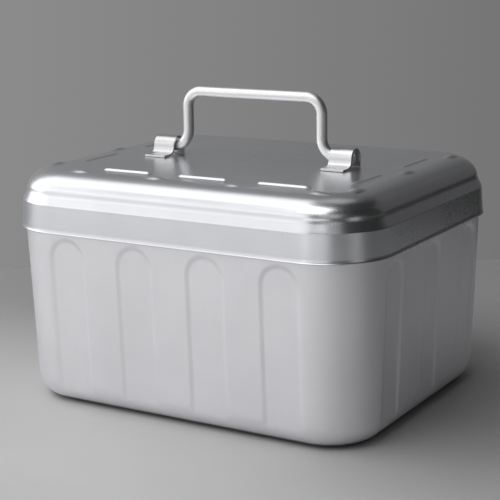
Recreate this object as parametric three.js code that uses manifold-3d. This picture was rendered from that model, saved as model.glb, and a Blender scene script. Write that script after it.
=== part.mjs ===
// A pressed aluminium fishing tackle box: a fluted tub, a domed lid on two rear butt hinges, a round
// rod bail handle in two saddle clips, and one compartment tray that a lid linkage lifts up and back.
// Millimetres. X runs left to right along the front, Y runs to the back, Z is up.
// The origin is the middle of the base, on the ground.

import * as THREE from "three";
import { mergeVertices } from "three/addons/utils/BufferGeometryUtils.js";
import Module from "manifold-3d";

const wasm = await Module();
wasm.setup();

// ---------- driving dimensions ----------

const GAP = 0.3; // between one piece and the next
const SHEET = 1.5; // thickness of the pressed aluminium
const WIDTH = 300; // over the lid's hem, left to right
const DEPTH = 242; // over the lid's hem, front to back
const CORNER = 48.2; // corner radius of the hem in plan
const CORNER_STEPS = 4; // an arc takes twice this many straight pieces

const HEM_Z = 130.6; // lower edge of the lid
const BODY_STEP = 3.3; // the tub's wall stands this far inside the hem
const DRAFT = 0.036; // radians that the tub's walls lean in towards the base
const BASE_ROUND = 19;
const NECK_INSET = 7.3; // the neck that the lid's skirt goes over
const NECK_Z = 134;
const JOGGLE = { outside: 3, inside: 4, lap: 0.8 }; // heights over which the wall steps in to the neck
const RIM_Z = 157;
const BEAD = 1.5; // radius of the rolled rim

const FLUTE_DEEP = 1.2;
const FLUTE_TOP = 126.5;
const FRONT_FLUTE = { count: 4, pitch: 58.3, width: 28.6 };
const SIDE_FLUTE = { count: 3, pitch: 62.5, width: 23.6 };
const FLUTE_TOOL = { thick: 8, below: 10 }; // the solid that presses a flute reaches past the wall and base

const HEM = { round: 0.6, flat: 1.9, high: 2.7, proud: 0.5 }; // the rolled lower edge of the skirt
const SKIRT_TOP = { inset: 1.7, z: 151 };
const LEDGE = { wide: 3, high: 6.5 };
const DOME = { inset: 5, z: 158, wide: 21.7, high: 15.4 };
const LID_TOP = DOME.z + DOME.high;

const RIB = { inset: 37, long: 42, wide: 6 };
const BOSS = { inset: 25.5, long: 26, wide: 10, high: 1.5, crown: 0.75 };
const MARK_ROOT = 0.8; // how far a rib or boss reaches down into the lid's top
const FRONT_RIBS = { count: 3, pitch: 64.3, shift: 8.9, high: 1.8 };
const SIDE_RIBS = { count: 2, pitch: 77.4, shift: 0, high: 0.9 };

const ROD = 4; // radius of the handle's rod
const BAIL = { legX: 57.5, elbow: 13, corner: 12, endX: 83, barZ: 222.8 };
const CLIP = { fromX: 67, wide: 18, inner: 6, thick: 1.5, fillet: 5, footY: 20 };
const BAIL_Z = LID_TOP + GAP + CLIP.thick + CLIP.fillet + 0.2; // the bail's pivot line

const HINGE = { y: 125.2, z: 129.6 };
const LEAF = { x: 58.3, wide: 26, thick: 1.4, barrel: 2.9, bore: 1.5, pin: 1.2 };
const BODY_LEAF = { low: 98, high: 122, rivetZ: 108 };
const LID_LEAF = { low: 135, high: 150, rivetZ: 143 };
const LEAF_RIVET = { shank: 1.6, head: 3.2, headHigh: 1.1, spread: 7.5 };
const LEAF_DRILL = 30; // long enough to pass through the leaf and the sheet
const CATCH = { halfX: 15, low: 135, high: 150, bendZ: 146, noseZ: 148.5, noseInset: 4.8, thick: 0.7 };

const ARM = { long: 75, rest: (155 * Math.PI) / 180, thick: 1.8, wide: 9, eye: 5.5 };
const REAR_PIVOT = { y: 50, z: 102 }; // on the case
const FRONT_PIVOT = { y: -10, z: 102 };
const OPEN_ANGLE = (95 * Math.PI) / 180;
const PIVOT = { shank: 2, head: 3.6, headHigh: 1.4 };

const TRAY = { halfX: 132.4, frontY: -104, rearY: 60, low: 127, high: 156.5, wall: 1.4, corner: 15 };
const DIVIDER = { thick: 1.2, high: 26.5, y: -28, frontX: [-44, 44], rearX: [-66, 0, 66] };
const STOP = { radius: 2, along: 8, clear: 0.4 }; // the lug behind the rear arm when the lid is open
const LUG = { fromX: 105, bendX: 124, drop: 5 }; // the lid's lug: a foot, then a slope down to its web

// Sideways layers of the linkage, counted outwards from the tray's end wall.
const HANGER_X = TRAY.halfX + GAP;
const ARM_X = HANGER_X + ARM.thick + GAP;
const BAR_X = ARM_X + ARM.thick + 0.5;
const BAR = { outerX: 142.2, lowZ: 92, highZ: 112, frontY: -20, rearY: 67 };

// The swing of the arms about their case pivots moves the tray by the same amount.
const armReach = {
  y: ARM.long * Math.cos(ARM.rest),
  z: ARM.long * Math.sin(ARM.rest),
};
const alongArm = (pivot) => ({ y: pivot.y + armReach.y, z: pivot.z + armReach.z });
const REAR_TRAY_PIVOT = alongArm(REAR_PIVOT);
const FRONT_TRAY_PIVOT = alongArm(FRONT_PIVOT);
const LID_PIVOT = alongArm(HINGE);

// ---------- materials ----------

const satin = (color, roughness) => new THREE.MeshStandardMaterial({ color, roughness, metalness: 1 });
const material = {
  body: satin("#b4b6b9", 0.42),
  lid: satin("#bcbec1", 0.3),
  rod: satin("#c6c8ca", 0.28),
  clip: satin("#c2c4c7", 0.3),
  tray: satin("#a9acb0", 0.5),
  steel: satin("#9da1a6", 0.35),
};

// ---------- solids ----------

const group = new THREE.Group();

function solid(geometry) {
  const loose = geometry.index ? geometry.toNonIndexed() : geometry;
  const places = new THREE.BufferGeometry();
  places.setAttribute("position", loose.getAttribute("position"));
  const merged = mergeVertices(places, 1e-4);
  const mesh = new wasm.Mesh({
    numProp: 3,
    vertProperties: merged.getAttribute("position").array,
    triVerts: new Uint32Array(merged.index.array),
  });
  return new wasm.Manifold(mesh);
}

function geometryOf(manifold) {
  const mesh = manifold.getMesh();
  const geometry = new THREE.BufferGeometry();
  geometry.setAttribute("position", new THREE.BufferAttribute(mesh.vertProperties, 3));
  geometry.setIndex(new THREE.BufferAttribute(mesh.triVerts, 1));
  geometry.computeVertexNormals();
  return geometry;
}

function addNode(name, shape, look) {
  const geometry = shape.isBufferGeometry ? shape : geometryOf(shape);
  const mesh = new THREE.Mesh(geometry, look);
  mesh.name = name;
  group.add(mesh);
}

// Both ends of the box: the side is 1 on the right and -1 on the left.
const SIDES = { left: -1, right: 1 };

// ---------- outlines and their solids ----------

function roundedRectangle(halfX, halfY, radius) {
  const shape = new THREE.Shape();
  const x = halfX - radius;
  const y = halfY - radius;
  shape.absarc(x, -y, radius, -Math.PI / 2, 0);
  shape.absarc(x, y, radius, 0, Math.PI / 2);
  shape.absarc(-x, y, radius, Math.PI / 2, Math.PI);
  shape.absarc(-x, -y, radius, Math.PI, Math.PI * 1.5);
  return shape;
}

// A pressing in the box's plan shape: each level is the hem's outline drawn in by an inset, at a height.
function pressing(levels) {
  const steps = levels.length - 1;
  const geometry = new THREE.ExtrudeGeometry(roundedRectangle(WIDTH / 2, DEPTH / 2, CORNER), {
    steps,
    depth: steps,
    bevelEnabled: false,
    curveSegments: CORNER_STEPS,
  });
  const place = geometry.getAttribute("position");
  const spineX = WIDTH / 2 - CORNER;
  const spineY = DEPTH / 2 - CORNER;
  for (let i = 0; i < place.count; i++) {
    const level = levels[Math.round(place.getZ(i))];
    const from = new THREE.Vector2(
      THREE.MathUtils.clamp(place.getX(i), -spineX, spineX),
      THREE.MathUtils.clamp(place.getY(i), -spineY, spineY),
    );
    const out = new THREE.Vector2(place.getX(i), place.getY(i)).sub(from);
    out.setLength(CORNER - level.inset).add(from);
    place.setXYZ(i, out.x, out.y, level.z);
  }
  return solid(geometry);
}

// Points on a quarter ellipse that climbs from its side to its top.
function quarter(centre, wide, high, steps) {
  const points = [];
  for (let i = 0; i <= steps; i++) {
    const t = (i / steps) * (Math.PI / 2);
    points.push({ inset: centre.inset - wide * Math.cos(t), z: centre.z + high * Math.sin(t) });
  }
  return points;
}

// An outline drawn in the Y-Z plane, made solid from one X to another.
function acrossX(shape, fromX, toX) {
  const geometry = new THREE.ExtrudeGeometry(shape, {
    depth: toX - fromX,
    bevelEnabled: false,
    curveSegments: 5,
  });
  const axes = new THREE.Matrix4().makeBasis(
    new THREE.Vector3(0, 1, 0),
    new THREE.Vector3(0, 0, 1),
    new THREE.Vector3(1, 0, 0),
  );
  geometry.applyMatrix4(axes);
  geometry.translate(fromX, 0, 0);
  return solid(geometry);
}

function polygon(points) {
  return new THREE.Shape(points.map(([a, b]) => new THREE.Vector2(a, b)));
}

// A straight strap with round ends, between two points of a plane.
function strap(start, end, radius) {
  const angle = Math.atan2(end.z - start.z, end.y - start.y);
  const shape = new THREE.Shape();
  shape.absarc(end.y, end.z, radius, angle - Math.PI / 2, angle + Math.PI / 2);
  shape.absarc(start.y, start.z, radius, angle + Math.PI / 2, angle + Math.PI * 1.5);
  return shape;
}

function disc(centre, radius) {
  const shape = new THREE.Shape();
  shape.absarc(centre.y, centre.z, radius, 0, Math.PI * 2);
  return shape;
}

// The same piece on the left, for one that is drawn on the right.
function mirrored(manifold) {
  return manifold.mirror([1, 0, 0]);
}

function onSide(manifold, side) {
  return side > 0 ? manifold : mirrored(manifold);
}

// A turned piece along an axis: pairs of radius and distance, from one end to the other.
function turned(steps, sides = 10) {
  const profile = [new THREE.Vector2(0, steps[0][1])];
  steps.forEach(([radius, along]) => profile.push(new THREE.Vector2(radius, along)));
  profile.push(new THREE.Vector2(0, steps[steps.length - 1][1]));
  return new THREE.LatheGeometry(profile, sides);
}

// A rivet from one distance to another: a head outside each end of its shank.
function rivet({ shank, head, headHigh }, from, to) {
  return turned([
    [head, from - headHigh],
    [head, from],
    [shank, from],
    [shank, to],
    [head, to],
    [head, to + headHigh],
  ]);
}

const lieAlongX = (geometry, y, z) => geometry.rotateZ(-Math.PI / 2).translate(0, y, z);
const drill = (y, z, radius) => acrossX(disc({ y, z }, radius), 0, WIDTH);

function drillAlongY(x, z, radius) {
  const bit = new THREE.CylinderGeometry(radius, radius, LEAF_DRILL, 12);
  return solid(bit.translate(x, HINGE.y, z));
}

// ---------- the tub ----------

const wallInset = (z) => BODY_STEP + (HEM_Z - z) * Math.tan(DRAFT);

// The flutes stand in the walls' own planes, so each is drawn flat and laid against its wall.
function fluteSolid(row, turn, wall, at, grow, depth) {
  const radius = row.width / 2 + grow;
  const springLine = FLUTE_TOP - row.width / 2;
  const arch = new THREE.Shape();
  arch.moveTo(-radius, -FLUTE_TOOL.below);
  arch.lineTo(radius, -FLUTE_TOOL.below);
  arch.absarc(0, springLine, radius, 0, Math.PI);
  const options = { depth: FLUTE_TOOL.thick, bevelEnabled: false, curveSegments: 4 };
  const geometry = new THREE.ExtrudeGeometry(arch, options);
  geometry.translate(at, 0, -depth);
  geometry.rotateX(Math.PI / 2 + DRAFT);
  geometry.translate(0, -(wall - wallInset(0)), 0);
  geometry.rotateZ(turn);
  return solid(geometry);
}

function flutes(grow, depth) {
  const cuts = [];
  for (const [row, wall, turn] of [
    [FRONT_FLUTE, DEPTH / 2, 0],
    [SIDE_FLUTE, WIDTH / 2, Math.PI / 2],
    [FRONT_FLUTE, DEPTH / 2, Math.PI],
    [SIDE_FLUTE, WIDTH / 2, -Math.PI / 2],
  ]) {
    for (let i = 0; i < row.count; i++) {
      const at = (i - (row.count - 1) / 2) * row.pitch;
      cuts.push(fluteSolid(row, turn, wall, at, grow, depth));
    }
  }
  return wasm.Manifold.union(cuts);
}

function tubOutside() {
  const round = { inset: wallInset(BASE_ROUND) + BASE_ROUND, z: BASE_ROUND };
  const bead = { inset: NECK_INSET, z: RIM_Z - BEAD };
  const jogZ = NECK_Z - JOGGLE.outside;
  return [
    ...quarter(round, BASE_ROUND, -BASE_ROUND, 4).reverse(),
    { inset: wallInset(jogZ), z: jogZ },
    { inset: NECK_INSET, z: NECK_Z },
    ...quarter(bead, BEAD, -BEAD, 2).reverse(),
    ...quarter(bead, BEAD, BEAD, 2).slice(1),
  ];
}

function tubInside() {
  const round = { inset: wallInset(BASE_ROUND) + BASE_ROUND, z: BASE_ROUND };
  const inner = BASE_ROUND - SHEET;
  const jogZ = NECK_Z - JOGGLE.inside;
  return [
    ...quarter(round, inner, -inner, 4).reverse(),
    { inset: wallInset(jogZ) + SHEET, z: jogZ },
    { inset: NECK_INSET + SHEET, z: NECK_Z - JOGGLE.lap },
    { inset: NECK_INSET + SHEET, z: RIM_Z + BEAD },
  ];
}

function bodyShell() {
  const outside = pressing(tubOutside()).subtract(flutes(0, FLUTE_DEEP));
  const inside = pressing(tubInside()).subtract(flutes(1, FLUTE_DEEP + SHEET));
  return outside.subtract(inside).subtract(leafHoles(BODY_LEAF.rivetZ));
}

// ---------- the lid ----------

function lidOutside() {
  const dome = { inset: DOME.inset + DOME.wide, z: DOME.z };
  return [
    { inset: HEM.round, z: HEM_Z },
    { inset: 0, z: HEM_Z + HEM.round },
    { inset: 0, z: HEM_Z + HEM.flat },
    { inset: HEM.proud, z: HEM_Z + HEM.high },
    SKIRT_TOP,
    { inset: SKIRT_TOP.inset + LEDGE.wide, z: SKIRT_TOP.z + LEDGE.high },
    ...quarter(dome, DOME.wide, DOME.high, 5),
  ];
}

function lidInside() {
  const dome = { inset: DOME.inset + DOME.wide, z: DOME.z };
  const skirt = HEM.proud + SHEET;
  const slope = Math.atan2(LEDGE.high, LEDGE.wide);
  const bend = {
    inset: SKIRT_TOP.inset + SHEET * Math.sin(slope),
    z: SKIRT_TOP.z - SHEET * Math.cos(slope),
  };
  return [
    { inset: skirt, z: HEM_Z - SHEET },
    { inset: skirt, z: HEM_Z + HEM.high },
    bend,
    { inset: bend.inset + LEDGE.wide, z: bend.z + LEDGE.high },
    ...quarter(dome, DOME.wide - SHEET, DOME.high - SHEET, 4),
  ];
}

function rowPlaces({ count, pitch, shift }) {
  return Array.from({ length: count }, (_, i) => (i - (count - 1) / 2) * pitch + shift);
}

function ribSolid(high) {
  const half = RIB.long / 2 - RIB.wide / 2;
  const outline = strap({ y: -half, z: 0 }, { y: half, z: 0 }, RIB.wide / 2);
  const depth = high + MARK_ROOT;
  return new THREE.ExtrudeGeometry(outline, { depth, bevelEnabled: false, curveSegments: 2 });
}

function bossSolid() {
  const high = BOSS.high + MARK_ROOT;
  const low = new THREE.CylinderGeometry(BOSS.crown, 1, high, 8).rotateX(Math.PI / 2);
  return low.scale(BOSS.long / 2, BOSS.wide / 2, 1).translate(0, 0, high / 2);
}

// One row along the front, turned round for the two sides.
function rowOfMarks(row, wall, turn) {
  const marks = rowPlaces(row).map((at) => ribSolid(row.high).translate(at, RIB.inset - wall, 0));
  const between = rowPlaces({ ...row, count: row.count + 1 });
  between.forEach((at) => marks.push(bossSolid().translate(at, BOSS.inset - wall, 0)));
  return marks.map((mark) => solid(mark.translate(0, 0, LID_TOP - MARK_ROOT).rotateZ(turn)));
}

function lidShell() {
  const marks = [
    ...rowOfMarks(FRONT_RIBS, DEPTH / 2, 0),
    ...rowOfMarks(SIDE_RIBS, WIDTH / 2, Math.PI / 2),
    ...rowOfMarks(SIDE_RIBS, WIDTH / 2, -Math.PI / 2),
  ];
  const shell = pressing(lidOutside()).subtract(pressing(lidInside()));
  return wasm.Manifold.union([shell, ...marks]).subtract(leafHoles(LID_LEAF.rivetZ));
}

// The outer face of the skirt leans in from the hem up to the skirt's top.
const skirtInset = (z) => {
  const from = HEM_Z + HEM.high;
  return HEM.proud + ((z - from) / (SKIRT_TOP.z - from)) * (SKIRT_TOP.inset - HEM.proud);
};

// A sprung strip inside the front of the skirt, with a nose that rides under the tub's rolled rim.
function catchSpring() {
  const { low, high, bendZ, thick } = CATCH;
  const onFace = (z, off) => [skirtInset(z) + SHEET + GAP + off - DEPTH / 2, z];
  const strip = polygon([
    onFace(low, 0),
    onFace(high, 0),
    onFace(high, thick),
    [CATCH.noseInset - DEPTH / 2, CATCH.noseZ],
    onFace(bendZ, thick),
    onFace(low, thick),
  ]);
  return acrossX(strip, -CATCH.halfX, CATCH.halfX);
}

// ---------- the handle ----------

function handleBail() {
  const half = [
    new THREE.Vector3(BAIL.endX, 0, BAIL_Z),
    new THREE.Vector3(BAIL.legX + BAIL.elbow, 0, BAIL_Z),
    new THREE.Vector3(BAIL.legX, 0, BAIL_Z),
    new THREE.Vector3(BAIL.legX, 0, BAIL_Z + BAIL.elbow),
    new THREE.Vector3(BAIL.legX, 0, BAIL.barZ - BAIL.corner),
    new THREE.Vector3(BAIL.legX, 0, BAIL.barZ),
    new THREE.Vector3(BAIL.legX - BAIL.corner, 0, BAIL.barZ),
  ];
  const other = half.map((p) => new THREE.Vector3(-p.x, p.y, p.z)).reverse();
  const [end, elbowIn, elbow, elbowOut, cornerIn, corner, cornerOut] = half;
  const [cornerOut2, corner2, cornerIn2, elbowOut2, elbow2, elbowIn2, end2] = other;
  const path = new THREE.CurvePath();
  path.add(new THREE.LineCurve3(end, elbowIn));
  path.add(roundBend(elbowIn, elbow, elbowOut));
  path.add(new THREE.LineCurve3(elbowOut, cornerIn));
  path.add(roundBend(cornerIn, corner, cornerOut));
  path.add(new THREE.LineCurve3(cornerOut, cornerOut2));
  path.add(roundBend(cornerOut2, corner2, cornerIn2));
  path.add(new THREE.LineCurve3(cornerIn2, elbowOut2));
  path.add(roundBend(elbowOut2, elbow2, elbowIn2));
  path.add(new THREE.LineCurve3(elbowIn2, end2));
  const section = new THREE.Shape();
  section.absarc(0, 0, ROD, 0, Math.PI * 2);
  return new THREE.ExtrudeGeometry(section, { steps: 52, curveSegments: 5, extrudePath: path });
}

// A quarter-circle bend that touches both lines of a right-angled corner.
function roundBend(from, corner, to) {
  const pull = 0.5523;
  const leave = from.clone().lerp(corner, pull);
  const meet = to.clone().lerp(corner, pull);
  return new THREE.CubicBezierCurve3(from, leave, meet, to);
}

// A strap of sheet over the end of the rod: it butts on the lid behind and flares into a foot in front.
function handleClip() {
  const footZ = LID_TOP + GAP;
  const outer = CLIP.inner + CLIP.thick;
  const filletY = outer + CLIP.fillet;
  const filletZ = footZ + CLIP.thick + CLIP.fillet;
  const shape = new THREE.Shape();
  shape.moveTo(-CLIP.footY, footZ);
  shape.lineTo(-filletY, footZ);
  shape.absarc(-filletY, filletZ, CLIP.fillet + CLIP.thick, -Math.PI / 2, 0);
  shape.absarc(0, BAIL_Z, CLIP.inner, Math.PI, 0, true);
  shape.lineTo(CLIP.inner, footZ);
  shape.lineTo(outer, footZ);
  shape.absarc(0, BAIL_Z, outer, 0, Math.PI);
  shape.absarc(-filletY, filletZ, CLIP.fillet, 0, -Math.PI / 2, true);
  shape.lineTo(-CLIP.footY, footZ + CLIP.thick);
  return acrossX(shape, CLIP.fromX, CLIP.fromX + CLIP.wide);
}

// ---------- the rear hinges ----------

const LEAF_FROM = LEAF.x - LEAF.wide / 2;
const KNUCKLE = LEAF.wide / 3;

function leafHoles(z) {
  const holes = [];
  for (const side of Object.values(SIDES)) {
    for (const spread of [-LEAF_RIVET.spread, LEAF_RIVET.spread]) {
      holes.push(drillAlongY(side * LEAF.x + spread, z, LEAF_RIVET.shank + GAP));
    }
  }
  return wasm.Manifold.union(holes);
}

// A leaf is a flat plate on the sheet metal and a neck that runs from it into one or more knuckles.
function hingeLeaf(plate, neck, knuckles, rivetZ) {
  const pieces = [acrossX(plate, LEAF_FROM, LEAF_FROM + LEAF.wide)];
  for (const index of knuckles) {
    const from = LEAF_FROM + index * KNUCKLE + (index ? GAP / 2 : 0);
    const to = LEAF_FROM + (index + 1) * KNUCKLE - (index < 2 ? GAP / 2 : 0);
    pieces.push(acrossX(neck, from, to), acrossX(disc(HINGE, LEAF.barrel), from, to));
  }
  return wasm.Manifold.union(pieces)
    .subtract(drill(HINGE.y, HINGE.z, LEAF.bore))
    .subtract(leafHoles(rivetZ));
}

function bodyLeaf() {
  const face = (z) => DEPTH / 2 - wallInset(z) + GAP;
  const { low, high } = BODY_LEAF;
  const plate = polygon([
    [face(low), low],
    [face(low) + LEAF.thick, low],
    [face(high) + LEAF.thick, high],
    [face(high), high],
  ]);
  const neck = polygon([
    [face(high), high - 1],
    [face(high) + LEAF.thick, high - 1],
    [HINGE.y, HINGE.z - LEAF.barrel],
    [HINGE.y - LEAF.barrel, HINGE.z - 0.5],
    [face(high), high + 1.5],
  ]);
  return hingeLeaf(plate, neck, [0, 2], BODY_LEAF.rivetZ);
}

const skirtFace = (z) => DEPTH / 2 - skirtInset(z);

function lidLeaf() {
  const { low, high } = LID_LEAF;
  const inner = (z) => skirtFace(z) + GAP;
  const plate = polygon([
    [inner(low), low],
    [inner(low) + LEAF.thick, low],
    [inner(high) + LEAF.thick, high],
    [inner(high), high],
  ]);
  const neck = polygon([
    [inner(low), low + 1],
    [inner(low), low - 0.5],
    [HINGE.y - LEAF.barrel + 0.1, HINGE.z + 0.5],
    [HINGE.y, HINGE.z + LEAF.barrel],
    [inner(low) + LEAF.thick, low + 1],
  ]);
  return hingeLeaf(plate, neck, [1], LID_LEAF.rivetZ);
}

function hingePin() {
  const over = 0.9;
  const from = LEAF_FROM - GAP;
  const to = LEAF_FROM + LEAF.wide + GAP;
  const size = { shank: LEAF.pin, head: LEAF.barrel - 0.5, headHigh: over };
  return lieAlongX(rivet(size, from, to), HINGE.y, HINGE.z);
}

function leafRivet(x, z, sheetInside, leafOutside) {
  const body = rivet(LEAF_RIVET, sheetInside - GAP, leafOutside + GAP);
  return body.translate(x, 0, z);
}

// ---------- the tray's linkage ----------

function linkageBar() {
  const bar = polygon([
    [BAR.frontY, BAR.lowZ],
    [BAR.rearY, BAR.lowZ],
    [BAR.rearY, BAR.highZ],
    [BAR.frontY, BAR.highZ],
  ]);
  let solidBar = acrossX(bar, BAR_X, BAR.outerX);
  for (const pivot of [REAR_PIVOT, FRONT_PIVOT]) {
    solidBar = solidBar.subtract(drill(pivot.y, pivot.z, PIVOT.shank + GAP));
  }
  return solidBar.add(acrossX(disc(stopPlace(), STOP.radius), ARM_X + GAP, BAR_X + 1));
}

// The stop lug stands just behind the rear arm's edge when the lid is fully open.
function stopPlace() {
  const open = ARM.rest - OPEN_ANGLE;
  const aside = ARM.wide / 2 + STOP.radius + STOP.clear;
  return {
    y: REAR_PIVOT.y + STOP.along * Math.cos(open) + aside * Math.sin(open),
    z: REAR_PIVOT.z + STOP.along * Math.sin(open) - aside * Math.cos(open),
  };
}

function swingArm(pivot) {
  const far = alongArm(pivot);
  const arm = wasm.Manifold.union([
    acrossX(strap(pivot, far, ARM.wide / 2), ARM_X, ARM_X + ARM.thick),
    acrossX(disc(pivot, ARM.eye), ARM_X, ARM_X + ARM.thick),
    acrossX(disc(far, ARM.eye), ARM_X, ARM_X + ARM.thick),
  ]);
  const holes = [pivot, far].map((eye) => drill(eye.y, eye.z, PIVOT.shank + GAP));
  return arm.subtract(wasm.Manifold.union(holes));
}

// The strap on the tray's end wall carries both arm pivots and reaches up to the lid's lug.
function trayHanger() {
  const to = HANGER_X + ARM.thick;
  const hanger = wasm.Manifold.union([
    acrossX(strap(FRONT_TRAY_PIVOT, REAR_TRAY_PIVOT, ARM.eye - 0.5), HANGER_X, to),
    acrossX(strap(REAR_TRAY_PIVOT, LID_PIVOT, ARM.eye - 0.5), HANGER_X, to),
  ]);
  const eyes = [FRONT_TRAY_PIVOT, REAR_TRAY_PIVOT, LID_PIVOT];
  const holes = eyes.map((eye) => drill(eye.y, eye.z, PIVOT.shank + GAP));
  return hanger.subtract(wasm.Manifold.union(holes));
}

// A bent lug under the lid's top: a foot on the flat, a slope under the dome and an eye at the lid pivot.
function lidLug() {
  const top = LID_TOP - SHEET - GAP;
  const web = ARM_X + ARM.thick;
  const eyeLow = LID_PIVOT.z - ARM.eye;
  const section = new THREE.Shape();
  section.moveTo(LUG.fromX, top);
  section.lineTo(LUG.fromX, top - SHEET);
  section.lineTo(LUG.bendX, top - SHEET);
  section.lineTo(ARM_X, top - LUG.drop);
  section.lineTo(ARM_X, eyeLow);
  section.lineTo(web, eyeLow);
  section.lineTo(web, top - LUG.drop + 1);
  section.lineTo(LUG.bendX, top);
  const geometry = new THREE.ExtrudeGeometry(section, { depth: 2 * ARM.eye, bevelEnabled: false });
  geometry.rotateX(Math.PI / 2);
  geometry.translate(0, LID_PIVOT.y + ARM.eye, 0);
  return solid(geometry).subtract(drill(LID_PIVOT.y, LID_PIVOT.z, PIVOT.shank + GAP));
}

function pivotRivet(eye, innermost, outermost) {
  return lieAlongX(rivet(PIVOT, innermost - GAP, outermost + GAP), eye.y, eye.z);
}

// A stud through the arm, ending inside the bar.
function caseStud(eye) {
  const stud = turned([
    [PIVOT.head, ARM_X - GAP - PIVOT.headHigh],
    [PIVOT.head, ARM_X - GAP],
    [PIVOT.shank, ARM_X - GAP],
    [PIVOT.shank, BAR.outerX - 0.5],
  ]);
  return lieAlongX(stud, eye.y, eye.z);
}

// ---------- the tray ----------

function trayPan() {
  const middleY = (TRAY.frontY + TRAY.rearY) / 2;
  const halfY = (TRAY.rearY - TRAY.frontY) / 2;
  const outline = roundedRectangle(TRAY.halfX, halfY, TRAY.corner);
  const wall = TRAY.wall;
  const hollow = roundedRectangle(TRAY.halfX - wall, halfY - wall, TRAY.corner - wall);
  const tall = TRAY.high - TRAY.low;
  const options = { bevelEnabled: false, curveSegments: 3 };
  const outside = new THREE.ExtrudeGeometry(outline, { ...options, depth: tall });
  const inside = new THREE.ExtrudeGeometry(hollow, { ...options, depth: tall });
  outside.translate(0, middleY, TRAY.low);
  inside.translate(0, middleY, TRAY.low + wall);
  let pan = solid(outside).subtract(solid(inside));
  for (const eye of [FRONT_TRAY_PIVOT, REAR_TRAY_PIVOT]) {
    const hole = drill(eye.y, eye.z, PIVOT.shank + GAP);
    pan = pan.subtract(hole).subtract(mirrored(hole));
  }
  return pan;
}

const DIVIDER_Z = TRAY.low + TRAY.wall + GAP + DIVIDER.high / 2;

function longDivider() {
  const long = 2 * (TRAY.halfX - TRAY.wall - GAP);
  return new THREE.BoxGeometry(long, DIVIDER.thick, DIVIDER.high).translate(0, DIVIDER.y, DIVIDER_Z);
}

function crossDivider(x, fromY, toY) {
  const long = toY - fromY - 2 * GAP;
  const plate = new THREE.BoxGeometry(DIVIDER.thick, long, DIVIDER.high);
  return plate.translate(x, (fromY + toY) / 2, DIVIDER_Z);
}

// ---------- the assembly ----------

addNode("body_shell", bodyShell(), material.body);
addNode("lid_shell", lidShell(), material.lid);
addNode("catch_spring", catchSpring(), material.steel);
addNode("handle_bail", handleBail(), material.rod);

const bodyAt = DEPTH / 2 - wallInset(BODY_LEAF.rivetZ);
const skirtAt = skirtFace(LID_LEAF.rivetZ);

for (const [name, side] of Object.entries(SIDES)) {
  addNode(`handle_clip_${name}`, onSide(handleClip(), side), material.clip);
  addNode(`hinge_leaf_body_${name}`, onSide(bodyLeaf(), side), material.steel);
  addNode(`hinge_leaf_lid_${name}`, onSide(lidLeaf(), side), material.steel);
  addNode(`hinge_pin_${name}`, onSide(solid(hingePin()), side), material.steel);

  for (const [number, spread] of [-LEAF_RIVET.spread, LEAF_RIVET.spread].entries()) {
    const x = side * LEAF.x + spread;
    const low = leafRivet(x, BODY_LEAF.rivetZ, bodyAt - SHEET, bodyAt + GAP + LEAF.thick);
    const high = leafRivet(x, LID_LEAF.rivetZ, skirtAt - SHEET, skirtAt + GAP + LEAF.thick);
    addNode(`body_leaf_rivet_${name}_${number + 1}`, low, material.steel);
    addNode(`lid_leaf_rivet_${name}_${number + 1}`, high, material.steel);
  }

  addNode(`linkage_bar_${name}`, onSide(linkageBar(), side), material.tray);
  addNode(`rear_arm_${name}`, onSide(swingArm(REAR_PIVOT), side), material.steel);
  addNode(`front_arm_${name}`, onSide(swingArm(FRONT_PIVOT), side), material.steel);
  addNode(`tray_hanger_${name}`, onSide(trayHanger(), side), material.steel);
  addNode(`lid_lug_${name}`, onSide(lidLug(), side), material.steel);

  const inTray = TRAY.halfX - TRAY.wall;
  const armOut = ARM_X + ARM.thick;
  const rearPin = pivotRivet(REAR_TRAY_PIVOT, inTray, armOut);
  const frontPin = pivotRivet(FRONT_TRAY_PIVOT, inTray, armOut);
  const lidPin = pivotRivet(LID_PIVOT, HANGER_X, armOut);
  addNode(`tray_pivot_rear_${name}`, onSide(solid(rearPin), side), material.steel);
  addNode(`tray_pivot_front_${name}`, onSide(solid(frontPin), side), material.steel);
  addNode(`lid_pivot_${name}`, onSide(solid(lidPin), side), material.steel);
  addNode(`case_pivot_rear_${name}`, onSide(solid(caseStud(REAR_PIVOT)), side), material.steel);
  addNode(`case_pivot_front_${name}`, onSide(solid(caseStud(FRONT_PIVOT)), side), material.steel);
}

addNode("tray_pan", trayPan(), material.tray);
addNode("tray_divider_long", longDivider(), material.tray);
DIVIDER.frontX.forEach((x, i) => {
  const plate = crossDivider(x, TRAY.frontY + TRAY.wall, DIVIDER.y - DIVIDER.thick / 2);
  addNode(`tray_divider_front_${i + 1}`, plate, material.tray);
});
DIVIDER.rearX.forEach((x, i) => {
  const plate = crossDivider(x, DIVIDER.y + DIVIDER.thick / 2, TRAY.rearY - TRAY.wall);
  addNode(`tray_divider_rear_${i + 1}`, plate, material.tray);
});

export default group;
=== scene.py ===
"""The pressed aluminium tackle box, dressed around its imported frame.

Metres, in the frame's own axes: X runs left to right along the front, Y runs to the hinged back and
Z is up. Sizes that the frame holds are read from it, and the rest are the named values below.
"""

import math

import bmesh
import bpy
import numpy as np
from mathutils import Matrix, Vector


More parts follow.
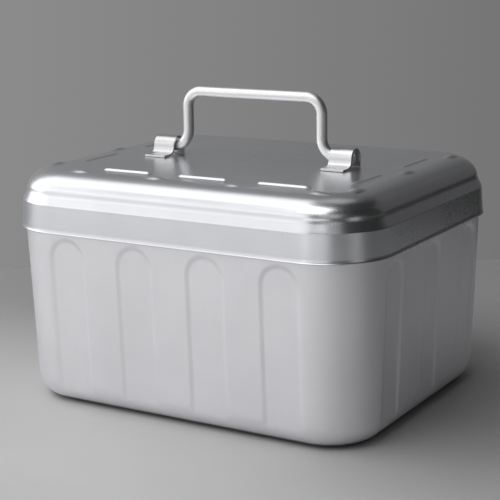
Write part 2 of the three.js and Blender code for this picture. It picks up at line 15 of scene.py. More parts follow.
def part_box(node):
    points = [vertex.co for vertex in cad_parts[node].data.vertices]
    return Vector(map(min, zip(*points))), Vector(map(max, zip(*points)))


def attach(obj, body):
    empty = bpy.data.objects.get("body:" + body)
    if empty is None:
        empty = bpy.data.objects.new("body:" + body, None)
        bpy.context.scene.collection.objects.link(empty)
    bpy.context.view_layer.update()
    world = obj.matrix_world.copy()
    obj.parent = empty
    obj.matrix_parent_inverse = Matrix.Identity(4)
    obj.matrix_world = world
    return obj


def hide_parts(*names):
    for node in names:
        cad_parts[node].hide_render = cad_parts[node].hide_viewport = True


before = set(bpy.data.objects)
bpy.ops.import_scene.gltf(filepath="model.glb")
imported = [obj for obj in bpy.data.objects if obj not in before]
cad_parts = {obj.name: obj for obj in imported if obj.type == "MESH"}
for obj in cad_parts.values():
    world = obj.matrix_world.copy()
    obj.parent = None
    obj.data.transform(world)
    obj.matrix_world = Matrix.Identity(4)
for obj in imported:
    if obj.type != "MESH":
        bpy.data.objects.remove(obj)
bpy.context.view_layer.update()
bpy.context.scene.view_settings.view_transform = "Standard"

# ---------- sizes ----------

MM = 0.001
SIDES = ("left", "right")
SHEET = 1.5 * MM

lid_low, lid_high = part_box("lid_shell")
_, tub_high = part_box("body_shell")
tray_low, tray_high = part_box("tray_pan")
bail_low, bail_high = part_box("handle_bail")

HALF_X, HALF_Y = lid_high.x, lid_high.y
CORNER = 48.2 * MM
COLUMN_STEP = 1.3 * MM  # between the mesh columns along a wall
CORNER_COLUMNS = 30
SHARP = math.radians(40)  # an edge that turns more than this gets a soft bevel
SAME_PLACE = 0.005 * MM  # corners closer than this are one

HEM_Z = lid_low.z
WALL_STEP = 3.3 * MM  # the tub's wall stands this far inside the hem
DRAFT = 0.036  # radians that the tub's walls lean in towards the base
BASE_ROUND = 19 * MM
NECK_INSET = 7.3 * MM
NECK_Z = 134 * MM
JOGGLE = 3 * MM
JOGGLE_DROP = {"foot": 1 * MM, "top": 0.8 * MM}  # how much lower the joggle starts and ends on the inside
RIM_Z = tub_high.z
BEAD = 1.5 * MM

FLUTE_DEEP = 1.2 * MM
FLUTE_TOP = 126.5 * MM
FLUTE_EDGE = 2.5 * MM  # how wide the soft edge of a flute is
FLUTE_BLEND = 0.5 * MM  # how softly a flute's floor runs out into the base
ARCHES_Z = 104 * MM  # the mesh is finer above this, where the flutes arch over
FRONT_FLUTES = {"count": 4, "pitch": 58.3 * MM, "width": 28.6 * MM}
SIDE_FLUTES = {"count": 3, "pitch": 62.5 * MM, "width": 23.6 * MM}

RIB = {"inset": 37 * MM, "long": 43 * MM, "wide": 6.4 * MM}
BOSS = {"inset": 25 * MM, "long": 24 * MM, "wide": 10 * MM, "high": 1.3 * MM}
FRONT_RIBS = {"count": 3, "pitch": 64.3 * MM, "shift": 8.9 * MM, "high": 1.8 * MM}
SIDE_RIBS = {"count": 2, "pitch": 77.4 * MM, "shift": 0, "high": 0.8 * MM}
LID_TOP = lid_high.z - FRONT_RIBS["high"]

HEM = {"round": 0.5 * MM, "flat": 0.8 * MM, "high": 1.4 * MM, "proud": 0.4 * MM}
SKIRT_TOP = {"inset": 1.7 * MM, "z": 151 * MM}
LEDGE = {"wide": 3.3 * MM, "high": 7 * MM, "edge": 0.4 * MM, "straight": 0.8}
DOME = {"inset": 5 * MM, "z": 158 * MM, "wide": 21.7 * MM}
MARKS_INSET = 40.5 * MM  # the ribs and bosses all lie outside this
FLAT_INSET = 46 * MM  # inside this the lid's top is one flat face

ROD = 4 * MM
ROD_SIDES = 32
ROD_CHAMFER = 0.5 * MM
LEG_X = 57.5 * MM
ELBOW = 13 * MM
BAIL_CORNER = 12 * MM
CLIP = {"inner": 6 * MM, "thick": SHEET, "fillet": 5 * MM, "edge": 0.35 * MM}
WELD = {"radius": 1.2 * MM, "high": 0.3 * MM, "x": 4.6 * MM, "in": 4.5 * MM}

TRAY = {"corner": 15 * MM, "wall": 1.4 * MM, "round": 4 * MM}
SOFT = {"steel": 0.3 * MM, "bar": 0.6 * MM, "spring": 0.15 * MM, "divider": 0.4 * MM}


# ---------- materials ----------

# how fine each noise in a metal is, in waves to the metre
CLOUDS = 28
SMEARS = 9
PATCHES = 140
LINES = 900
SPECKS = 2600

CLOUD_SHADES = (0.35, 0.65)
DARKEST = 0.93  # of the metal's own colour
LIGHTEST = 1.06
STREAKS = 5  # how much more the drawn lines show in the colour than in the roughness
RUBBED = (0.52, 0.62)  # the pointiness where an edge starts to shine, and where it shines fully
LEAST_RUBBED = 0.2
RUBBED_SMOOTHER = 0.12
SPECK_HIGH = 0.6  # against the drawn lines
RELIEF_DEPTH = 0.02 * MM
# how dark the tub's colour gets at the floor, and between which heights it darkens: a painted contact
# shadow along the base
PAINTED_BASE_SHADOW = {"shade": 0.05, "from": 1.5 * MM, "to": 5 * MM}


def link(tree, source, output, target, socket):
    tree.links.new(source.outputs[output], target.inputs[socket])


def grey(value):
    return (value, value, value)


def drawn_place(tree, drawn=(1, 1, 1)):
    """The piece's own coordinates, drawn out so that noise lies along one direction."""
    place = tree.nodes.new("ShaderNodeTexCoord")
    mapping = tree.nodes.new("ShaderNodeMapping")
    mapping.inputs["Scale"].default_value = drawn
    link(tree, place, "Object", mapping, "Vector")
    return mapping


def noise(tree, place, scale, detail=3.0):
    texture = tree.nodes.new("ShaderNodeTexNoise")
    texture.inputs["Scale"].default_value = scale
    texture.inputs["Detail"].default_value = detail
    link(tree, place, "Vector", texture, "Vector")
    return texture


def between(tree, source, output, low, high, from_low=0.3, from_high=0.7):
    """A value, brought from one range into another. Most noise lies within 0.3 to 0.7."""
    node = tree.nodes.new("ShaderNodeMapRange")
    node.inputs["From Min"].default_value = from_low
    node.inputs["From Max"].default_value = from_high
    node.inputs["To Min"].default_value = low
    node.inputs["To Max"].default_value = high
    link(tree, source, output, node, "Value")
    return node


def combined(tree, operation, first, second):
    node = tree.nodes.new("ShaderNodeMath")
    node.operation = operation
    tree.links.new(first.outputs[0], node.inputs[0])
    tree.links.new(second.outputs[0], node.inputs[1])
    return node


def tinted(tree, factor, low, high):
    """A colour between two, by a factor."""
    ramp = tree.nodes.new("ShaderNodeValToRGB")
    ramp.color_ramp.elements[0].color = (*low, 1)
    ramp.color_ramp.elements[1].color = (*high, 1)
    tree.links.new(factor.outputs[0], ramp.inputs["Fac"])
    return ramp


def base_shadow_painted(tree, place, colour):
    """A colour that darkens close to the ground, where the base turns under: a painted contact shadow."""
    split = tree.nodes.new("ShaderNodeSeparateXYZ")
    link(tree, place, "Vector", split, "Vector")
    unshadowed = between(tree, split, "Z", PAINTED_BASE_SHADOW["shade"], 1, PAINTED_BASE_SHADOW["from"], PAINTED_BASE_SHADOW["to"])
    darker = tree.nodes.new("ShaderNodeVectorMath")
    darker.operation = "SCALE"
    link(tree, colour, "Color", darker, 0)
    link(tree, unshadowed, 0, darker, "Scale")
    return darker


def metal(
    name,
    colour,
    roughness,
    drawn=(1, 1, 1),
    grain=0.02,
    handled=0.05,
    relief=0.12,
    wear=0.5,
    on_ground=False,
):
    """Sheet or rod metal: drawn grain along one direction, cloudy handling marks, and rubbed edges."""
    material = bpy.data.materials.new(name)
    material.use_nodes = True
    tree = material.node_tree
    shader = tree.nodes["Principled BSDF"]
    shader.inputs["Metallic"].default_value = 1.0

    even = drawn_place(tree)
    along = drawn_place(tree, drawn)
    clouds = noise(tree, even, CLOUDS)
    smears = noise(tree, even, SMEARS, detail=5)
    lines = noise(tree, along, LINES, detail=4)
    specks = noise(tree, even, SPECKS, detail=2)

    geometry = tree.nodes.new("ShaderNodeNewGeometry")
    rubbed = between(tree, geometry, "Pointiness", 0, wear, *RUBBED)
    patchy = between(tree, noise(tree, even, PATCHES, detail=4), "Fac", LEAST_RUBBED, 1)
    worn = combined(tree, "MULTIPLY", rubbed, patchy)

    shade = combined(
        tree,
        "ADD",
        between(tree, clouds, "Fac", *CLOUD_SHADES),
        between(tree, lines, "Fac", -STREAKS * grain, STREAKS * grain),
    )
    shade = combined(tree, "ADD", shade, worn)
    darker = tuple(DARKEST * c for c in colour)
    lighter = tuple(min(1.0, LIGHTEST * c) for c in colour)
    surface = tinted(tree, shade, darker, lighter)
    # a painted contact shadow along the base of pieces that stand on the ground
    if on_ground:
        surface = base_shadow_painted(tree, even, surface)
    link(tree, surface, 0, shader, "Base Color")

    rough = combined(
        tree,
        "ADD",
        between(tree, smears, "Fac", roughness - handled, roughness + handled),
        between(tree, lines, "Fac", -grain, grain),
    )
    smoother = between(tree, worn, 0, 0, -RUBBED_SMOOTHER, 0, 1)
    link(tree, combined(tree, "ADD", rough, smoother), 0, shader, "Roughness")

    height = combined(
        tree,
        "ADD",
        between(tree, lines, "Fac", 0, 1),
        between(tree, specks, "Fac", 0, SPECK_HIGH),
    )
    bump = tree.nodes.new("ShaderNodeBump")
    bump.inputs["Strength"].default_value = relief
    bump.inputs["Distance"].default_value = RELIEF_DEPTH
    tree.links.new(height.outputs[0], bump.inputs["Height"])
    link(tree, bump, "Normal", shader, "Normal")
    return material


UPRIGHT = (1, 1, 0.04)
ACROSS = (0.04, 1, 1)
BODY_COLOUR = (0.92, 0.915, 0.95)
LID_COLOUR = (0.79, 0.80, 0.83)
LOOKS = {
    "body_aluminium": metal(
        "satin_body", BODY_COLOUR, 0.46, UPRIGHT, grain=0.01, relief=0.03, wear=0.2, on_ground=True
    ),
    "lid_aluminium": metal(
        "satin_lid", LID_COLOUR, 0.3, ACROSS, grain=0.01, handled=0.03, relief=0, wear=0.05
    ),
    "handle_rod": metal("drawn_rod", grey(0.88), 0.42, UPRIGHT, grain=0.01, relief=0, wear=0.3),
    "clip_aluminium": metal("bright_clip", (0.70, 0.70, 0.71), 0.3, ACROSS, relief=0.03),
    "tray_aluminium": metal("mill_tray", (0.70, 0.71, 0.72), 0.42, ACROSS, grain=0.05),
    "rivet_aluminium": metal("turned_rivet", (0.74, 0.74, 0.75), 0.34),
    "hinge_steel": metal("zinc_hinge", (0.62, 0.63, 0.64), 0.36, grain=0.06, handled=0.08),
    "linkage_steel": metal("zinc_linkage", (0.58, 0.58, 0.59), 0.38, grain=0.06, handled=0.08),
    "spring_steel": metal("bright_spring", (0.52, 0.52, 0.54), 0.3, UPRIGHT),
}


# ---------- meshes ----------


def add_piece(name, mesh, body, slot, *nodes):
    """A mesh in the row frame becomes a piece that rides on a body and stands for CAD nodes."""
    mesh.materials.append(LOOKS[slot])
    mesh.polygons.foreach_set("use_smooth", [True] * len(mesh.polygons))
    piece = bpy.data.objects.new(name, mesh)
    bpy.context.scene.collection.objects.link(piece)
    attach(piece, body)
    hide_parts(*nodes)
    return piece


def outward(mesh):
    """Turns every face of a closed skin outwards."""
    work = bmesh.new()
    work.from_mesh(mesh)
    bmesh.ops.recalc_face_normals(work, faces=work.faces)
    work.to_mesh(mesh)
    work.free()
    return mesh


def skin(name, rings):
    """A closed skin through rings of points: quads between them, and one face over each end."""
    count = len(rings[0])
    faces = []
    for level in range(len(rings) - 1):
        low = level * count
        high = low + count
        for i in range(count):
            j = (i + 1) % count
            faces.append((low + i, low + j, high + j, high + i))
    last = (len(rings) - 1) * count
    faces.append(tuple(reversed(range(count))))
    faces.append(tuple(range(last, last + count)))
    mesh = bpy.data.meshes.new(name)
    mesh.from_pydata(np.concatenate(rings).tolist(), [], faces)
    return outward(mesh)


def soften(piece, width):
    """Rounds a piece's sharp edges."""
    bevel = piece.modifiers.new("soft_edges", "BEVEL")
    bevel.width = width
    bevel.segments = 2
    bevel.limit_method = "ANGLE"
    bevel.angle_limit = SHARP
    return bevel


class Plan:
    """Columns of a skin round a rounded rectangle: each starts from a spine point and faces outwards."""

    def __init__(self, half_x, half_y, corner, middle_y=0.0):
        self.half = (half_x, half_y)
        self.corner = corner
        self.middle = np.array([0.0, middle_y])
        spine, out, wall = [], [], []
        for turn in range(4):
            along = self.half[turn % 2] - corner
            away = self.half[(turn + 1) % 2] - corner
            steps = max(1, round(2 * along / COLUMN_STEP))
            spin = math.pi / 2 * turn
            turned = np.array([[math.cos(spin), -math.sin(spin)], [math.sin(spin), math.cos(spin)]])
            for i in range(steps):
                at = -along + 2 * along * i / steps
                spine.append(turned @ (at, -away))
                out.append(turned @ (0, -1))
                wall.append(turn)
            for i in range(CORNER_COLUMNS):
                angle = math.pi / 2 * i / CORNER_COLUMNS
                spine.append(turned @ (along, -away))
                out.append(turned @ (math.sin(angle), -math.cos(angle)))
                wall.append(turn if angle < math.pi / 4 else (turn + 1) % 4)
        self.spine = np.array(spine)
        self.out = np.array(out)
        self.wall = np.array(wall)

    def places(self, inset):
        """Where each column stands, drawn in from the outline by an inset."""
        reach = self.corner - np.broadcast_to(inset, len(self.wall))
        return self.spine + self.out * reach[:, None] + self.middle

    def ring(self, inset, z):
        heights = np.broadcast_to(z, len(self.wall))
        return np.column_stack([self.places(inset), heights])


def straight(start, end, steps):
    """Points from start to end, without the start."""
    return [
        (start[0] + (end[0] - start[0]) * i / steps, start[1] + (end[1] - start[1]) * i / steps)
        for i in range(1, steps + 1)
    ]


def sweep(centre, wide, high, start, end, steps):
    """Points of an ellipse in a section, from one angle in degrees to another. 0 is outermost."""
    points = []
    for i in range(steps + 1):
        angle = math.radians(start + (end - start) * i / steps)
        points.append((centre[0] - wide * math.cos(angle), centre[1] + high * math.sin(angle)))
    return points


def bend(start, corner, end, steps):
    """A soft bend that leaves start and meets end along the lines to their corner, without the start."""
    points = []
    for i in range(1, steps + 1):
        t = i / steps
        pull = [(1 - t) ** 2, 2 * t * (1 - t), t * t]
        points.append(tuple(pull[0] * a + pull[1] * b + pull[2] * c for a, b, c in zip(start, corner, end)))
    return points


def smooth_step(value):
    t = np.clip(value, 0, 1)
    return t * t * (3 - 2 * t)


# ---------- the tub ----------


def wall_inset(z):
    return WALL_STEP + (HEM_Z - z) * math.tan(DRAFT)


def fluted(plan, inset, z, thick):
    """The inset of each column at one height, with the flutes pressed in."""
    here = plan.places(inset)
    pressed = wall_inset(z) + thick + FLUTE_DEEP
    floor = (inset + pressed + math.hypot(inset - pressed, FLUTE_BLEND)) / 2
    weight = np.zeros(len(here))
    for turn in range(4):
        row = SIDE_FLUTES if turn % 2 else FRONT_FLUTES
        spin = -math.pi / 2 * turn
        along = here[:, 0] * math.cos(spin) - here[:, 1] * math.sin(spin)
        radius = row["width"] / 2
        above = max(0.0, z - (FLUTE_TOP - radius))
        for i in range(row["count"]):
            centre = (i - (row["count"] - 1) / 2) * row["pitch"]
            inside = radius - np.hypot(along - centre, above)
            edge = smooth_step(inside / FLUTE_EDGE + 0.5)
            weight = np.where(plan.wall == turn, np.maximum(weight, edge), weight)
    return inset + weight * (floor - inset)


def tub():
    plan = Plan(HALF_X, HALF_Y, CORNER)
    round_at = (wall_inset(BASE_ROUND) + BASE_ROUND, BASE_ROUND)
    inner = BASE_ROUND - SHEET
    jog_low = NECK_Z - JOGGLE
    bead_at = (NECK_INSET, RIM_Z - BEAD)
    neck_low = (NECK_INSET, RIM_Z - 2 * BEAD)

    def wall(z, thick):
        return (wall_inset(z) + thick, z)

    outside = sweep(round_at, BASE_ROUND, BASE_ROUND, -90, 0, 14)
    outside += straight(wall(BASE_ROUND, 0), wall(ARCHES_Z, 0), 20)
    outside += straight(wall(ARCHES_Z, 0), wall(jog_low, 0), 20)
    outside += joggled(wall(jog_low, 0), (NECK_INSET, NECK_Z), 6)
    outside += straight((NECK_INSET, NECK_Z), neck_low, 6)
    rim = sweep(bead_at, BEAD, BEAD, -75, 180, 12)
    inside_jog = wall(jog_low - JOGGLE_DROP["foot"], SHEET)
    neck_in = (NECK_INSET + SHEET, NECK_Z - JOGGLE_DROP["top"])
    inside = straight(rim[-1], neck_in, 6)
    inside += joggled(neck_in, inside_jog, 6)
    inside += straight(inside_jog, wall(ARCHES_Z, SHEET), 18)
    inside += straight(wall(ARCHES_Z, SHEET), wall(BASE_ROUND, SHEET), 20)
    inside += sweep(round_at, inner, inner, 0, -90, 12)[1:]

    rings = [plan.ring(fluted(plan, inset, z, 0), z) for inset, z in outside]
    rings += [plan.ring(inset, z) for inset, z in rim]
    rings += [plan.ring(fluted(plan, inset, z, SHEET), z) for inset, z in inside]
    mesh = skin("tackle_box_tub", rings)
    add_piece("tackle_box_tub", mesh, "case", "body_aluminium", "body_shell")


def joggled(start, end, steps):
    """An S-shaped step in the sheet, from start to end, without the start."""
    points = []
    for i in range(1, steps + 1):
        t = i / steps
        ease = t * t * (3 - 2 * t)
        points.append((start[0] + (end[0] - start[0]) * ease, start[1] + (end[1] - start[1]) * t))
    return points


# ---------- the lid ----------


def mark_heights(places):
    """How far the pressed ribs and bosses raise the lid's top: along the front, right and left edges."""
    raised = np.zeros(len(places))
    for turn in (0, 1, 3):
        row = SIDE_RIBS if turn % 2 else FRONT_RIBS
        wall = HALF_X if turn % 2 else HALF_Y
        spin = -math.pi / 2 * turn
        along = places[:, 0] * math.cos(spin) - places[:, 1] * math.sin(spin)
        inset = wall + places[:, 0] * math.sin(spin) + places[:, 1] * math.cos(spin)
        for i in range(row["count"]):
            centre = (i - (row["count"] - 1) / 2) * row["pitch"] + row["shift"]
            half = (RIB["long"] - RIB["wide"]) / 2
            past = np.maximum(np.abs(along - centre) - half, 0)
            far = np.hypot(past, inset - RIB["inset"]) / (RIB["wide"] / 2)
            bead = row["high"] * (1 + np.cos(math.pi * np.minimum(far, 1))) / 2
            raised = np.maximum(raised, bead)
        for i in range(row["count"] + 1):
            centre = (i - row["count"] / 2) * row["pitch"] + row["shift"]
            far = np.hypot(
                (along - centre) / (BOSS["long"] / 2),
                (inset - BOSS["inset"]) / (BOSS["wide"] / 2),
            )
            boss = BOSS["high"] * (1 - np.minimum(far, 1) ** 2) ** 2
            raised = np.maximum(raised, boss)
    return raised


def lid():
    plan = Plan(HALF_X, HALF_Y, CORNER)
    dome = (DOME["inset"] + DOME["wide"], DOME["z"])
    dome_high = LID_TOP - DOME["z"]
    skirt_in = HEM["proud"] + SHEET
    skirt_top = (SKIRT_TOP["inset"], SKIRT_TOP["z"])
    ledge_low = (skirt_top[0] + SHEET, skirt_top[1] - SHEET / 2)
    dome_root = (DOME["inset"], DOME["z"])

    inside = [(FLAT_INSET, LID_TOP - SHEET)]
    inside += straight(inside[0], (dome[0], LID_TOP - SHEET), 6)
    inside += sweep(dome, DOME["wide"] - SHEET, dome_high - SHEET, 86, 4, 14)
    inside += straight(inside[-1], ledge_low, 5)
    inside += straight(ledge_low, (skirt_in, HEM_Z + HEM["high"]), 5)
    inside += straight(inside[-1], (skirt_in, HEM_Z + HEM["round"]), 3)

    hem_middle = (HEM["round"], HEM_Z + HEM["round"])
    outside = [(skirt_in - HEM["round"], HEM_Z)]
    outside += sweep(hem_middle, HEM["round"], HEM["round"], -90, 0, 4)
    outside += [(0, HEM_Z + HEM["flat"])]
    outside += joggled(outside[-1], (HEM["proud"], HEM_Z + HEM["high"]), 4)
    edge = LEDGE["edge"]
    slope = math.atan2(LEDGE["high"], LEDGE["wide"])
    past_edge = (skirt_top[0] + edge * math.cos(slope), skirt_top[1] + edge * math.sin(slope))
    fillet_low = (
        skirt_top[0] + LEDGE["wide"] * LEDGE["straight"],
        skirt_top[1] + LEDGE["high"] * LEDGE["straight"],
    )
    side_of_dome = sweep(dome, DOME["wide"], dome_high, 8, 72, 26)
    outside += straight(outside[-1], (skirt_top[0], skirt_top[1] - edge), 8)
    outside += bend(outside[-1], skirt_top, past_edge, 4)
    outside += straight(past_edge, fillet_low, 4)
    outside += bend(fillet_low, dome_root, side_of_dome[0], 10)
    outside += side_of_dome[1:]

    top = sweep(dome, DOME["wide"], dome_high, 73, 90, 12)
    top += straight(top[-1], (MARKS_INSET, LID_TOP), 28)
    top += straight(top[-1], (FLAT_INSET, LID_TOP), 4)

    rings = [plan.ring(inset, z) for inset, z in inside + outside]
    for inset, z in top:
        rings.append(plan.ring(inset, z + mark_heights(plan.places(inset))))
    mesh = skin("tackle_box_lid", rings)
    add_piece("tackle_box_lid", mesh, "lid", "lid_aluminium", "lid_shell")


# ---------- the handle ----------


def bail():
    """A round rod swept along the bail's line, from the end in the left clip to the one in the right."""
    low = bail_low.z + ROD
    high = bail_high.z - ROD
    end = bail_high.x
    line = [(end, low), (end - ROD_CHAMFER, low)]
    line += straight(line[-1], (LEG_X + ELBOW, low), 6)
    line += arc((LEG_X + ELBOW, low + ELBOW), ELBOW, 270, 180, 14)[1:]
    line += straight(line[-1], (LEG_X, high - BAIL_CORNER), 8)
    line += arc((LEG_X - BAIL_CORNER, high - BAIL_CORNER), BAIL_CORNER, 0, 90, 14)[1:]
    line += straight(line[-1], (0, high), 14)
    line += [(-x, z) for x, z in reversed(line[:-1])]
    rings = []
    for i, (x, z) in enumerate(line):
        before = line[max(0, i - 1)]
        after = line[min(len(line) - 1, i + 1)]
        run = Vector((after[0] - before[0], after[1] - before[1])).normalized()
        radius = ROD - ROD_CHAMFER if i in (0, len(line) - 1) else ROD
        ring = []
        for k in range(ROD_SIDES):
            angle = 2 * math.pi * k / ROD_SIDES
            out = radius * math.cos(angle)
            ring.append((x - run.y * out, radius * math.sin(angle), z + run.x * out))
        rings.append(np.array(ring))
    mesh = skin("handle_bail_rod", rings)
    add_piece("handle_bail_rod", mesh, "handle", "handle_rod", "handle_bail")


def arc(centre, radius, start, end, steps):
    """Points of a circle, from one angle in degrees to another. 0 is to the right."""
    points = []
    for i in range(steps + 1):
        angle = math.radians(start + (end - start) * i / steps)
        points.append((centre[0] + radius * math.cos(angle), centre[1] + radius * math.sin(angle)))
    return points


def extruded(name, outline, from_x, to_x):
    """An outline in the Y-Z plane, made solid from one X to another."""
    rings = [np.array([(x, y, z) for y, z in outline]) for x in (from_x, to_x)]
    return skin(name, rings)


def clip_outline(low, high):
    """A strap bent over the rod: it butts on the lid behind and has a fillet and a foot in front."""
    foot = low.y
    thick = CLIP["thick"]
    fillet = CLIP["fillet"]
    outer = CLIP["inner"] + thick
    over = high.z - outer
    bend_y = outer + fillet
    bend_z = low.z + thick + fillet
    under = [(foot, low.z)]
    under += arc((-bend_y, bend_z), fillet + thick, -90, 0, 10)
    under += arc((0, over), CLIP["inner"], 180, 0, 24)
    under += [(CLIP["inner"], low.z)]
    above = [(outer, low.z)]
    above += arc((0, over), outer, 0, 180, 24)
    above += arc((-bend_y, bend_z), fillet, 0, -90, 10)
    above += [(foot, low.z + thick)]
    return under + above


def clip(name):
    """A saddle clip with three spot welds on its foot."""
    node = f"handle_clip_{name}"
    low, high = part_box(node)
    mesh = extruded(f"saddle_clip_{name}", clip_outline(low, high), low.x, high.x)
    work = bmesh.new()
    work.from_mesh(mesh)
    squashed = Matrix.Diagonal((1, 1, WELD["high"] / WELD["radius"], 1))
    for across in (-WELD["x"], 0, WELD["x"]):
        at = Vector(((low.x + high.x) / 2 + across, low.y + WELD["in"], low.z + CLIP["thick"]))
        bmesh.ops.create_uvsphere(
            work,
            u_segments=20,
            v_segments=10,
            radius=WELD["radius"],
            matrix=Matrix.Translation(at) @ squashed,
        )
    work.to_mesh(mesh)
    work.free()
    piece = add_piece(f"saddle_clip_{name}", mesh, "lid", "clip_aluminium", node)
    soften(piece, CLIP["edge"]).harden_normals = True


# ---------- the tray ----------


def tray():
    middle = (tray_low.y + tray_high.y) / 2
    plan = Plan(tray_high.x, tray_high.y - middle, TRAY["corner"], middle)
    wall = TRAY["wall"]
    turn = TRAY["round"]
    lip = wall / 2
    low, high = tray_low.z, tray_high.z
    line = sweep((turn, low + turn), turn, turn, -90, 0, 8)
    line += straight(line[-1], (0, high - lip), 8)
    line += sweep((lip, high - lip), lip, lip, 0, 180, 8)[1:]
    line += straight(line[-1], (wall, low + turn), 8)
    line += sweep((turn, low + turn), turn - wall, turn - wall, 0, -90, 8)[1:]
    rings = [plan.ring(inset, z) for inset, z in line]
    mesh = skin("lure_tray", rings)
    add_piece("lure_tray", mesh, "tray", "tray_aluminium", "tray_pan")


# ---------- pins, rivets and the frame's own nodes ----------

LEAF_RIVET = {"shank": 1.6 * MM, "head": 3.2 * MM, "high": 1.1 * MM}
PIVOT = {"shank": 2 * MM, "head": 3.6 * MM, "high": 1.4 * MM}
PIN = {"shank": 1.2 * MM, "head": 2.4 * MM, "high": 0.9 * MM}
TURNED_SIDES = 24
DOME_STEPS = 8
HEAD = {"lip": 0.2 * MM, "edge": 0.3, "full": 0.8}  # the edge is a share of the head's height


def domed(size, along, way):
    """A rivet head from the end of its shank out to the axis: a rolled edge and a low dome."""
    points = [(size["head"] - HEAD["lip"], along)]
    edge = size["high"] * HEAD["edge"]
    for i in range(DOME_STEPS + 1):
        angle = math.pi / 2 * i / DOME_STEPS
        up = edge + (size["high"] - edge) * math.sin(angle)
        points.append((size["head"] * math.cos(angle) ** HEAD["full"], along + way * up))
    return points


def turned_line(size, start, end, heads):
    """The radius along a pin. With a head at its far end only, it widens all the way to that head."""
    shank = size["shank"]
    if heads[0]:
        line = list(reversed(domed(size, start, -1)))
        line += [(shank, start), (shank, end)]
    else:
        line = [(0, start), (shank, start)]
    if heads[1]:
        line += domed(size, end, 1)
    else:
        line += [(shank, end), (0, end)]
    return line


def turned_piece(node, axis, size, body, slot, heads=(True, True)):
    """A pin or rivet on a CAD pin's own line, with a domed head where it has one."""
    low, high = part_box(node)
    start, end = low[axis], high[axis]
    if heads[0]:
        start += size["high"]
    if heads[1]:
        end -= size["high"]
    middle = (low + high) / 2
    work = bmesh.new()
    rings = []
    for radius, along in turned_line(size, start, end, heads):
        ring = []
        for k in range(TURNED_SIDES):
            angle = 2 * math.pi * k / TURNED_SIDES
            point = Vector(middle)
            point[axis] = along
            point[1 - axis] += radius * math.cos(angle)
            point[2] += radius * math.sin(angle)
            ring.append(work.verts.new(point))
        rings.append(ring)
    for first, second in zip(rings, rings[1:]):
        for k in range(TURNED_SIDES):
            j = (k + 1) % TURNED_SIDES
            work.faces.new((first[k], first[j], second[j], second[k]))
    bmesh.ops.remove_doubles(work, verts=work.verts, dist=SAME_PLACE)
    bmesh.ops.recalc_face_normals(work, faces=work.faces)
    mesh = bpy.data.meshes.new(f"turned_{node}")
    work.to_mesh(mesh)
    work.free()
    add_piece(f"turned_{node}", mesh, body, slot, node)


def keep_node(name, slot, edge):
    """A CAD node that stays as it is, with its finish and soft edges."""
    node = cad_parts[name]
    for place in node.material_slots:
        place.material = LOOKS[slot]
    weld = node.modifiers.new("joined_corners", "WELD")
    weld.merge_threshold = 2 * SAME_PLACE
    soften(node, edge)


def fasteners(name):
    for number in (1, 2):
        turned_piece(f"body_leaf_rivet_{name}_{number}", 1, LEAF_RIVET, "case", "rivet_aluminium")
        turned_piece(f"lid_leaf_rivet_{name}_{number}", 1, LEAF_RIVET, "lid", "rivet_aluminium")
    turned_piece(f"hinge_pin_{name}", 0, PIN, "case", "hinge_steel")
    turned_piece(f"tray_pivot_rear_{name}", 0, PIVOT, "tray", "rivet_aluminium")
    turned_piece(f"tray_pivot_front_{name}", 0, PIVOT, "tray", "rivet_aluminium")
    turned_piece(f"lid_pivot_{name}", 0, PIVOT, "lid", "rivet_aluminium")
    inner = (name == "right", name == "left")  # which end faces the middle of the box
    for place in ("rear", "front"):
        turned_piece(f"case_pivot_{place}_{name}", 0, PIVOT, "case", "rivet_aluminium", inner)


def kept_nodes():
    for name in SIDES:
        for node in ("hinge_leaf_body", "hinge_leaf_lid"):
            keep_node(f"{node}_{name}", "hinge_steel", SOFT["steel"])
        for node in ("rear_arm", "front_arm", "tray_hanger", "lid_lug"):
            keep_node(f"{node}_{name}", "linkage_steel", SOFT["steel"])
        keep_node(f"linkage_bar_{name}", "tray_aluminium", SOFT["bar"])
    keep_node("catch_spring", "spring_steel", SOFT["spring"])
    keep_node("tray_divider_long", "tray_aluminium", SOFT["divider"])
    for number in (1, 2):
        keep_node(f"tray_divider_front_{number}", "tray_aluminium", SOFT["divider"])
    for number in (1, 2, 3):
        keep_node(f"tray_divider_rear_{number}", "tray_aluminium", SOFT["divider"])


# ---------- the stage ----------

YAW = 0.545
PITCH = 0.225
ROLL = -0.017
DISTANCE = 1.0586
LENS = 100.7
SENSOR = 36
LOOK_SIDE = -0.004088
LOOK_Z = 0.104774
BOX_MIDDLE = Vector((0, 0, 0.1))
FLOOR_BEHIND = 0.394  # the table ends this far behind the middle of the box
FLOOR_REACH = 2.5
# the table's colour fades along this axis, over this range and up to this share, from its light-pool grey
# to its shade grey: a painted pool of light in front of the box and painted shade behind it
PAINTED_LIGHT_AXIS = (0.2, 0.98, 0)  # the way in which the table's colour fades
PAINTED_LIGHT_RANGE = (-0.22, 0.04)
FADED = 0.92
MOTTLES = 6  # waves to the metre
MOTTLED = 0.08
TABLE_IN_LIGHT_POOL = 0.76
TABLE_IN_PAINTED_SHADE = 0.42
STUDIO_LEFT = 0.27
STUDIO_RIGHT = 0.022
STUDIO_RANGE = (-0.7, 0.25)


def view_axes():
    right = Vector((math.cos(YAW), math.sin(YAW), 0))
    ahead = Vector((-math.sin(YAW) * math.cos(PITCH), math.cos(YAW) * math.cos(PITCH), -math.sin(PITCH)))
    return right, right.cross(ahead), ahead


def camera():
    right, up, ahead = view_axes()
    target = right * LOOK_SIDE + Vector((0, 0, LOOK_Z))
    across = right * math.cos(ROLL) + up * math.sin(ROLL)
    upward = up * math.cos(ROLL) - right * math.sin(ROLL)
    data = bpy.data.cameras.new("camera")
    data.sensor_width = SENSOR
    data.lens = LENS
    turned = Matrix((across, upward, -ahead)).transposed().to_4x4()
    eye = bpy.data.objects.new("camera", data)
    eye.matrix_world = Matrix.Translation(target - ahead * DISTANCE) @ turned
    bpy.context.scene.collection.objects.link(eye)
    bpy.context.scene.camera = eye


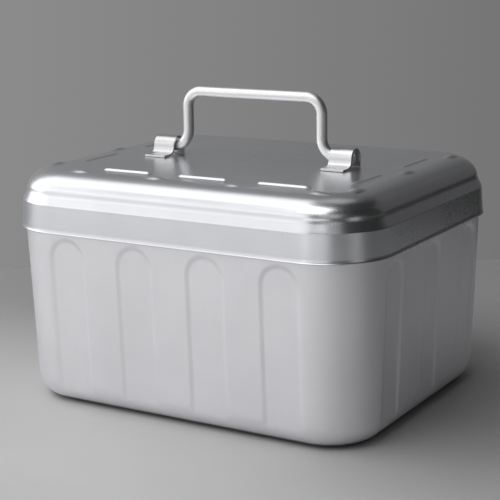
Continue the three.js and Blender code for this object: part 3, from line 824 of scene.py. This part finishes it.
def table():
    right, _, _ = view_axes()
    back = Vector((-right.y, right.x, 0))
    corners = [
        right * FLOOR_REACH + back * FLOOR_BEHIND,
        back * FLOOR_BEHIND - right * FLOOR_REACH,
        -back * FLOOR_REACH - right * FLOOR_REACH,
        right * FLOOR_REACH - back * FLOOR_REACH,
    ]
    mesh = bpy.data.meshes.new("table")
    mesh.from_pydata([tuple(c) for c in corners], [], [(0, 1, 2, 3)])
    material = bpy.data.materials.new("table_painted_light_pool")
    material.use_nodes = True
    tree = material.node_tree
    shader = tree.nodes["Principled BSDF"]
    shader.inputs["Roughness"].default_value = 0.6
    shader.inputs["Specular IOR Level"].default_value = 0.25
    place = drawn_place(tree)
    # a painted pool of light in front of the box that fades into painted shade behind it, with random
    # mottling over it
    far = tree.nodes.new("ShaderNodeVectorMath")
    far.operation = "DOT_PRODUCT"
    far.inputs[1].default_value = PAINTED_LIGHT_AXIS
    link(tree, place, "Vector", far, "Vector")
    fade = between(tree, far, "Value", 0, FADED, *PAINTED_LIGHT_RANGE)
    mottled = between(tree, noise(tree, place, MOTTLES), "Fac", 0, MOTTLED)
    shade = combined(tree, "ADD", fade, mottled)
    surface = tinted(tree, shade, grey(TABLE_IN_LIGHT_POOL), grey(TABLE_IN_PAINTED_SHADE))
    link(tree, surface, "Color", shader, "Base Color")
    mesh.materials.append(material)
    floor = bpy.data.objects.new("table", mesh)
    bpy.context.scene.collection.objects.link(floor)


def softbox(name, place, wide, high, power):
    """A soft light that faces the box."""
    data = bpy.data.lights.new(name, "AREA")
    data.shape = "RECTANGLE"
    data.size = wide
    data.size_y = high
    data.energy = power
    light = bpy.data.objects.new(name, data)
    light.location = place
    light.rotation_euler = (BOX_MIDDLE - Vector(place)).to_track_quat("-Z", "Y").to_euler()
    bpy.context.scene.collection.objects.link(light)


def lights():
    """A bank of soft lights from the front to the left and above, and dim ones that fill the right."""
    softbox("front_left_low", (-1.15, -1.75, 0.5), 2.2, 1.0, 5.0)
    softbox("front_left_high", (-1.15, -1.75, 1.3), 2.2, 0.9, 4.4)
    softbox("front_low", (0.3, -2.1, 0.25), 1.6, 0.4, 2.2)
    softbox("front_right_high", (0.95, -1.65, 1.1), 1.3, 0.9, 1.5)
    softbox("over_left", (-1.0, -0.2, 1.45), 1.2, 1.4, 6.0)
    softbox("over_front", (-0.1, -1.0, 1.7), 1.4, 1.2, 9.4)
    softbox("left", (-2.0, -0.5, 0.7), 1.4, 1.2, 7.7)
    softbox("right_strip", (1.85, -0.65, 0.3), 0.6, 0.5, 0.4)
    softbox("back_right", (0.9, 1.6, 0.8), 1.4, 1.2, 0.3)
    softbox("overhead", (0, 0.5, 1.6), 0.6, 0.6, 0.4)


def surroundings():
    """A grey studio that darkens towards the right, where the box's right side looks."""
    world = bpy.data.worlds.new("studio")
    bpy.context.scene.world = world
    world.use_nodes = True
    tree = world.node_tree
    background = tree.nodes["Background"]
    place = tree.nodes.new("ShaderNodeTexCoord")
    split = tree.nodes.new("ShaderNodeSeparateXYZ")
    link(tree, place, "Generated", split, "Vector")
    rightward = between(tree, split, "X", 0, 1, *STUDIO_RANGE)
    ramp = tinted(tree, rightward, grey(STUDIO_LEFT), grey(STUDIO_RIGHT))
    link(tree, ramp, "Color", background, "Color")


# ---------- the scene ----------

camera()
tub()
lid()
bail()
for side in SIDES:
    clip(side)
    fasteners(side)
tray()
kept_nodes()
table()
lights()
surroundings()
